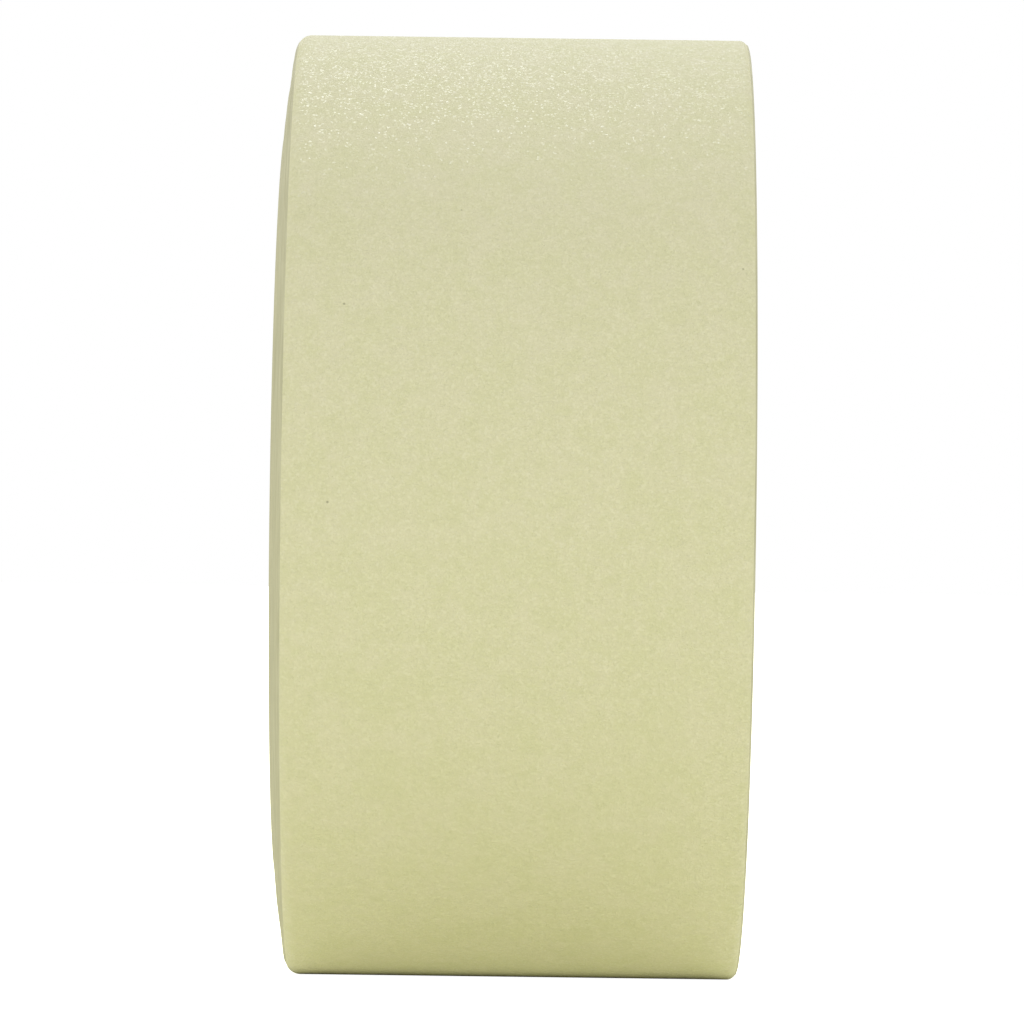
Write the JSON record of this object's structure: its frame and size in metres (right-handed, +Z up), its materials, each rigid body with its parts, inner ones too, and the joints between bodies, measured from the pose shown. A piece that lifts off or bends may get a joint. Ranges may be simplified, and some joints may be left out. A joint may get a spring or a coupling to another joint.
{
  "type": "masking tape roll",
  "caption": "Roll of pale greenish-yellow masking tape, 50 mm wide and 105 mm across, wound on a three-inch paperboard core, with an outer end that peels.",
  "frame": {"origin": "on the roll's axle line, halfway across the outermost turn of the tape; the tread's lowest line is 52.3 mm below it", "axes": "+X along the axle line towards the side whose middle is sunk, +Z up, +Y towards the back, where the outer end of the tape lies"},
  "size_m": [0.0512, 0.1046, 0.1045],
  "materials": {
    "tape": "satin",
    "inner_liner": "matte",
    "board": "matte",
    "outer_liner": "matte"
  },
  "bodies": {
    "root": {"core_inner_liner": "inner_liner", "core_board_ply_1": "board", "core_board_ply_2": "board", "core_board_ply_3": "board", "core_board_ply_4": "board", "core_outer_liner": "outer_liner", "wound_tape": "tape"},
    "tail_1": {"tape_tail_1": "tape"},
    "tail_2": {"tape_tail_2": "tape"},
    "tail_3": {"tape_tail_3": "tape"},
    "tail_4": {"tape_tail_4": "tape"},
    "tail_5": {"tape_tail_5": "tape"},
    "tail_6": {"tape_tail_6": "tape"},
    "tail_7": {"tape_tail_7": "tape"},
    "tail_8": {"tape_tail_8": "tape"},
    "tail_9": {"tape_tail_9": "tape"},
    "tail_10": {"tape_tail_10": "tape"},
    "tail_11": {"tape_tail_11": "tape"},
    "tail_12": {"tape_tail_12": "tape"}
  },
  "joints": [
    {"name": "tail_peel", "type": "hinge", "parent": "root", "child": "tail_1", "pos_m": [0, 0.0521, 0.00456], "axis": [-1, 0, 0], "range_deg": [0, 20]},
    {"name": "tail_bend_2", "type": "hinge", "parent": "tail_1", "child": "tail_2", "pos_m": [0, 0.05142, 0.00954], "axis": [-1, 0, 0], "range_deg": [0, 22]},
    {"name": "tail_bend_3", "type": "hinge", "parent": "tail_2", "child": "tail_3", "pos_m": [0, 0.05027, 0.01443], "axis": [-1, 0, 0], "range_deg": [0, 22]},
    {"name": "tail_bend_4", "type": "hinge", "parent": "tail_3", "child": "tail_4", "pos_m": [0, 0.04866, 0.01919], "axis": [-1, 0, 0], "range_deg": [0, 20]},
    {"name": "tail_bend_5", "type": "hinge", "parent": "tail_4", "child": "tail_5", "pos_m": [0, 0.04659, 0.02377], "axis": [-1, 0, 0], "range_deg": [0, 18]},
    {"name": "tail_bend_6", "type": "hinge", "parent": "tail_5", "child": "tail_6", "pos_m": [0, 0.0441, 0.02813], "axis": [-1, 0, 0], "range_deg": [0, 15]},
    {"name": "tail_bend_7", "type": "hinge", "parent": "tail_6", "child": "tail_7", "pos_m": [0, 0.0412, 0.03223], "axis": [-1, 0, 0], "range_deg": [0, 12]},
    {"name": "tail_bend_8", "type": "hinge", "parent": "tail_7", "child": "tail_8", "pos_m": [0, 0.03792, 0.03604], "axis": [-1, 0, 0], "range_deg": [0, 10]},
    {"name": "tail_bend_9", "type": "hinge", "parent": "tail_8", "child": "tail_9", "pos_m": [0, 0.03429, 0.03951], "axis": [-1, 0, 0], "range_deg": [0, 8]},
    {"name": "tail_bend_10", "type": "hinge", "parent": "tail_9", "child": "tail_10", "pos_m": [0, 0.03034, 0.04262], "axis": [-1, 0, 0], "range_deg": [0, 7]},
    {"name": "tail_bend_11", "type": "hinge", "parent": "tail_10", "child": "tail_11", "pos_m": [0, 0.02612, 0.04534], "axis": [-1, 0, 0], "range_deg": [0, 6]},
    {"name": "tail_bend_12", "type": "hinge", "parent": "tail_11", "child": "tail_12", "pos_m": [0, 0.02165, 0.04764], "axis": [-1, 0, 0], "range_deg": [0, 6]}
  ],
  "couplings": [
    {"joint": "tail_bend_2", "follows": "tail_peel", "ratio": 1.1},
    {"joint": "tail_bend_3", "follows": "tail_peel", "ratio": 1.1},
    {"joint": "tail_bend_4", "follows": "tail_peel", "ratio": 1},
    {"joint": "tail_bend_5", "follows": "tail_peel", "ratio": 0.9},
    {"joint": "tail_bend_6", "follows": "tail_peel", "ratio": 0.75},
    {"joint": "tail_bend_7", "follows": "tail_peel", "ratio": 0.6},
    {"joint": "tail_bend_8", "follows": "tail_peel", "ratio": 0.5},
    {"joint": "tail_bend_9", "follows": "tail_peel", "ratio": 0.4},
    {"joint": "tail_bend_10", "follows": "tail_peel", "ratio": 0.35},
    {"joint": "tail_bend_11", "follows": "tail_peel", "ratio": 0.3},
    {"joint": "tail_bend_12", "follows": "tail_peel", "ratio": 0.3}
  ]
}
